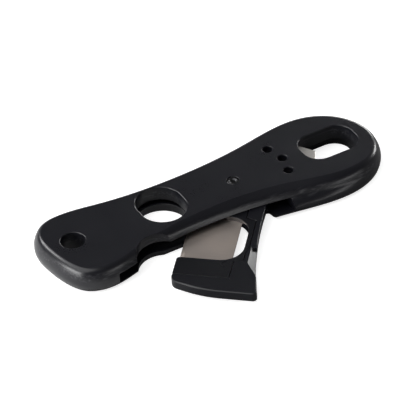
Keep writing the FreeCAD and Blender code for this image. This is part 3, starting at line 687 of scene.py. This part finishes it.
# ---------------------------------------------------------------- screws
def screw_tree():
    """Pan-head screws, head down, one on each point, each turned by chance."""
    tree = bpy.data.node_groups.new("screws", "GeometryNodeTree")
    tree.interface.new_socket("Places", in_out="INPUT", socket_type="NodeSocketGeometry")
    for label in ("Head Radius", "Head Height", "Shaft Radius", "Length", "Sink", "Drive Reach"):
        tree.interface.new_socket(label, in_out="INPUT", socket_type="NodeSocketFloat")
    tree.interface.new_socket("Finish", in_out="INPUT", socket_type="NodeSocketMaterial")
    tree.interface.new_socket("Screws", in_out="OUTPUT", socket_type="NodeSocketGeometry")
    board = Board(tree)
    given = tree.nodes.new("NodeGroupInput")
    wire = {s.name: Wire(board, s) for s in given.outputs if s.name}

    def vector(x, y, z):
        return board.node("ShaderNodeCombineXYZ", {}, {0: x, 1: y, 2: z})

    def moved(shape, z):
        return board.node("GeometryNodeTransform", {},
                          {"Geometry": shape, "Translation": vector(0.0, 0.0, z)})

    def drum(radius_low, radius_high, depth, z):
        shape = board.node("GeometryNodeMeshCone", {"fill_type": "NGON"},
                           {"Vertices": 40, "Radius Top": radius_high, "Radius Bottom": radius_low,
                            "Depth": depth})
        return moved(shape, z)

    head_r, head_h, shaft_r = wire["Head Radius"], wire["Head Height"], wire["Shaft Radius"]
    sink, reach = wire["Sink"], wire["Drive Reach"]
    crown, bite = head_h * 0.25, 0.00005
    dome = drum(head_r * 0.8, head_r * 1.02, crown, sink)
    rim = drum(head_r, head_r, head_h - sink - crown + bite, sink + crown - bite)
    shaft = drum(shaft_r, shaft_r, wire["Length"] - head_h + bite, head_h - bite)
    solid_head = board.node("GeometryNodeMeshBoolean", {"operation": "UNION", "solver": "EXACT"},
                            {"Mesh 2": [dome, rim, shaft]})
    slots = []                       # one bar is deeper, so that no two faces of the cross coincide
    for long_x, long_y, deep in ((reach, reach * 0.17, 3.0), (reach * 0.17, reach, 3.3)):
        bar = board.node("GeometryNodeMeshCube", {},
                         {"Size": vector(long_x * 2.0, long_y * 2.0, crown * deep)})
        slots.append(moved(bar, sink))
    screw = board.node("GeometryNodeMeshBoolean", {"operation": "DIFFERENCE", "solver": "EXACT"},
                       {"Mesh 1": solid_head, "Mesh 2": slots})
    chance = board.node("FunctionNodeRandomValue", {"data_type": "FLOAT"}, {"Max": 1.5, "Seed": 7},
                        output=1)
    placed = board.node("GeometryNodeInstanceOnPoints", {},
                        {"Points": wire["Places"], "Instance": screw, "Rotation": vector(0.0, 0.0, chance)})
    whole = board.node("GeometryNodeRealizeInstances", {}, {"Geometry": placed})
    done = board.node("GeometryNodeSetMaterial", {}, {"Geometry": whole, "Material": wire["Finish"]})
    board.node("NodeGroupOutput", {}, {"Screws": done})
    return tree


def make_screws(name, places, tree, lift, turn, **sizes):
    """Screws at places, millimetres; lift raises them and turn swings them with the arm."""
    item = solid(name, [(x, y, 0.0) for x, y in places], [])
    step = item.modifiers.new("screws", "NODES")
    step.node_group = tree
    for socket in tree.interface.items_tree:
        if socket.in_out == "INPUT" and socket.name in sizes:
            step[socket.identifier] = sizes[socket.name] * MM
        if socket.name == "Finish":
            step[socket.identifier] = screw_black
    plain_mesh(item)
    item.data.transform(Matrix.Translation((0, 0, lift * MM)))
    if turn:
        turned(item)
    return shaded(item)


# ---------------------------------------------------------------- the whole object
hand_over(make_upper_shell(), "handle", "shell_plastic", shell_black, "upper_shell")
hand_over(make_lower_shell(), "handle", "shell_plastic", shell_black, "lower_shell")
hand_over(make_lip(), "handle", "lip_steel", lip_steel, "steel_lip_plate")
hand_over(make_pin(), "handle", "pin_steel", pin_black, "pivot_pin")
hand_over(make_arm_frame(), "arm", "arm_plastic", arm_black, "arm_frame")
hand_over(make_blade_cover(), "arm", "arm_plastic", cover_black, "blade_cover")
hand_over(make_blade(), "arm", "blade_steel", blade_steel, "blade")

SCREW_TREE = screw_tree()
shell_set = make_screws("shell_screw_set", SCREWS, SCREW_TREE, 0.0, False, **{
    "Head Radius": SCREW_HEAD_R, "Head Height": SCREW_HEAD_H, "Shaft Radius": SCREW_R,
    "Length": SCREW_LEN, "Sink": SCREW_SINK, "Drive Reach": SCREW_REACH})
hand_over(shell_set, "handle", "screw_steel", screw_black, "shell_screws")
clamp_set = make_screws("clamp_screw_set", CLAMPS, SCREW_TREE, ARM_LOW, True, **{
    "Head Radius": CLAMP_HEAD_R, "Head Height": CLAMP_HEAD_H, "Shaft Radius": CLAMP_R,
    "Length": CLAMP_LEN, "Sink": CLAMP_SINK, "Drive Reach": CLAMP_REACH})
hand_over(clamp_set, "arm", "screw_steel", screw_black, "clamp_screws")

for washer in ("upper_washer", "spring_washer"):
    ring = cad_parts[washer]
    ring.data.materials.clear()
    ring.data.materials.append(washer_steel)


# ---------------------------------------------------------------- studio
def make_floor():
    """A plain pale floor. What it throws back at the object is greyer, and palest from the back
    left, so that black sides stay black."""
    half, low = 3000.0, -0.05
    sheet = solid("floor", [(-half, -half, low), (half, -half, low), (half, half, low),
                            (-half, half, low)], [(0, 1, 2, 3)])
    pale = Finish("pale_floor", Roughness=0.9, Specular_IOR_Level=0.1, Emission_Strength=0.78)
    wash = pale.noise(pale.place(), 3.0, 2.0)
    pale.feed("Base Color", pale.blend(wash, (0.58, 0.58, 0.58, 1.0), (0.6, 0.6, 0.6, 1.0)))
    pale.feed("Emission Color", pale.blend(wash, (0.98, 0.98, 0.98, 1.0), (1.0, 1.0, 1.0, 1.0)))
    seen = pale.node("ShaderNodeLightPath", output="Is Camera Ray")
    x, y = (pale.node("ShaderNodeSeparateXYZ", {}, {0: pale.place()}, output=i) for i in (0, 1))
    glow = pale.ramp((y - x) * 16.0, (0.0, grey(0.25)), (0.7, grey(0.95)))
    bounce = pale.node("ShaderNodeBsdfDiffuse", {}, {"Color": glow})
    shown = Wire(pale, pale.shader.outputs[0])
    both = pale.node("ShaderNodeMixShader", {}, {0: seen, 1: bounce, 2: shown})
    end = next(n for n in pale.tree.nodes if n.type == "OUTPUT_MATERIAL")
    pale.tree.links.new(both.socket, end.inputs["Surface"])
    sheet.data.materials.append(pale.material)


LIGHTS = [                           # name, place and aim in metres, width, height, watts
    ("overhead", (-0.6, 0.1, 1.0), (0, 0, 0), 1.4, 1.2, 13.5),
    ("front_low", (0.45, -1.0, 0.28), (0, 0, 0), 0.6, 0.16, 1.5),
    ("back_left", (-0.45, 0.75, 0.62), (-0.03, 0, 0), 0.5, 0.25, 6.0),
    ("back_right", (0.75, 0.8, 0.12), (0.03, 0, 0), 0.5, 0.2, 4.0),
    ("right_side", (0.92, 0.2, 0.27), (0, 0, 0), 0.3, 0.2, 4.0),
    ("left_side", (-0.95, 0.05, 0.22), (0, 0, 0), 0.6, 0.3, 8.0),
]


def make_light(name, at, target, size_x, size_y, watts):
    lamp = bpy.data.lights.new(name, "AREA")
    lamp.shape, lamp.size, lamp.size_y, lamp.energy = "RECTANGLE", size_x, size_y, watts
    item = bpy.data.objects.new(name, lamp)
    bpy.context.scene.collection.objects.link(item)
    place = Vector(at)
    item.matrix_world = (Matrix.Translation(place)
                         @ (Vector(target) - place).to_track_quat("-Z", "Y").to_matrix().to_4x4())


def make_sky():
    """A grey room, palest at the horizon and darkest partway up."""
    sky = bpy.data.worlds.new("studio")
    bpy.context.scene.world = sky
    sky.use_nodes = True
    board = Board(sky.node_tree)
    at = board.node("ShaderNodeTexCoord", output="Generated")
    up = board.node("ShaderNodeSeparateXYZ", {}, {0: at}, output=2)
    tone = board.node("ShaderNodeValToRGB", {"stops": [
        (0.0, grey(0.34)), (0.06, grey(0.27)), (0.3, grey(0.13)), (0.62, grey(0.085)), (1.0, grey(0.13))]},
        {"Fac": up})
    back = next(n for n in sky.node_tree.nodes if n.type == "BACKGROUND")
    sky.node_tree.links.new(tone.socket, back.inputs["Color"])
    back.inputs["Strength"].default_value = 1.0


def make_camera():
    """The camera that sees the object from above its front left."""
    elevation, azimuth, roll = math.radians(38.18), math.radians(28.40), math.radians(3.15)
    about_z = Matrix.Rotation(azimuth, 3, "Z")
    tilt = Matrix(((1, 0, 0), (0, math.sin(elevation), math.cos(elevation)),
                   (0, -math.cos(elevation), math.sin(elevation))))
    axes = Matrix.Rotation(roll, 3, "Z") @ tilt @ about_z      # rows: right, up, back
    lens = bpy.data.cameras.new("camera")
    lens.lens, lens.sensor_width, lens.sensor_fit = 275.1, 36.0, "HORIZONTAL"
    lens.clip_start, lens.clip_end = 0.05, 20.0
    item = bpy.data.objects.new("camera", lens)
    bpy.context.scene.collection.objects.link(item)
    target = Vector((-8.5, 0.0, 6.5))
    place = target + axes.transposed() @ Vector((-1.452, -4.312, 1104.0))
    item.matrix_world = Matrix.Translation(place * MM) @ axes.transposed().to_4x4()
    bpy.context.scene.camera = item


make_floor()
make_sky()
for light in LIGHTS:
    make_light(*light)
make_camera()
bpy.context.scene.view_settings.view_transform = "Standard"
